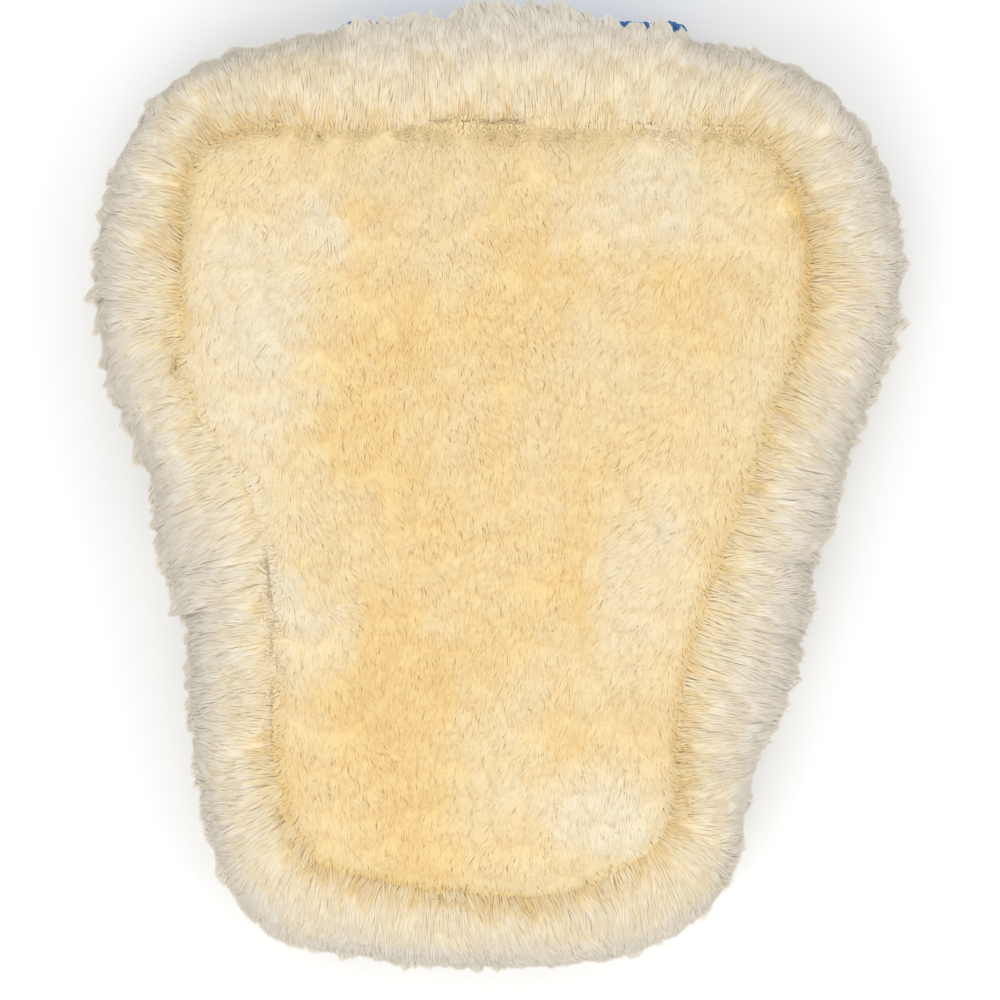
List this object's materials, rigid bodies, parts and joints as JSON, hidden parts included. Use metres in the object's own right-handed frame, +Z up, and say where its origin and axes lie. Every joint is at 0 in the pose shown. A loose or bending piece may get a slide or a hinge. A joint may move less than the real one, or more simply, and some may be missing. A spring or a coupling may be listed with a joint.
{
  "type": "wash mitt",
  "caption": "Hand-shaped lambswool wash mitt with a thick fleece palm, a rolled fleece edge, a blue fabric back and a short knit cuff round the mouth.",
  "frame": {"origin": "on the surface that the mitt lies on, under the middle of its outline", "axes": "+Z up out of the wool of the palm, +Y from the toe to the mouth, X across the mitt"},
  "size_m": [0.2301, 0.2701, 0.05],
  "materials": {
    "palm_wool": "dense shorn lambswool, golden at the roots and cream at the tips",
    "border_wool": "long ivory lambswool",
    "pelt": "suede side of the tanned skin",
    "lining": "plain woven lining",
    "back_fabric": "blue woven polyester with a dull sheen",
    "knit": "blue ribbed knit",
    "elastic": "white braided elastic",
    "binding": "dark blue twill tape",
    "wool_thread": "straw-coloured polyester thread",
    "blue_thread": "blue polyester thread"
  },
  "bodies": {
    "root": {"palm_pile": "palm_wool", "palm_pelt": "pelt", "border_pile_mouth": "border_wool", "border_pile_left": "border_wool", "border_pile_toe": "border_wool", "border_pile_right": "border_wool", "border_pelt_mouth": "pelt", "border_pelt_left": "pelt", "border_pelt_toe": "pelt", "border_pelt_right": "pelt", "palm_lining": "lining", "back_lining": "lining", "back_panel": "back_fabric", "knit_cuff": "knit", "cuff_elastic": "elastic", "mouth_binding": "binding", "palm_seam": "wool_thread", "back_seam": "wool_thread", "cuff_seam": "blue_thread", "strip_join_stitches": "wool_thread"}
  },
  "joints": []
}
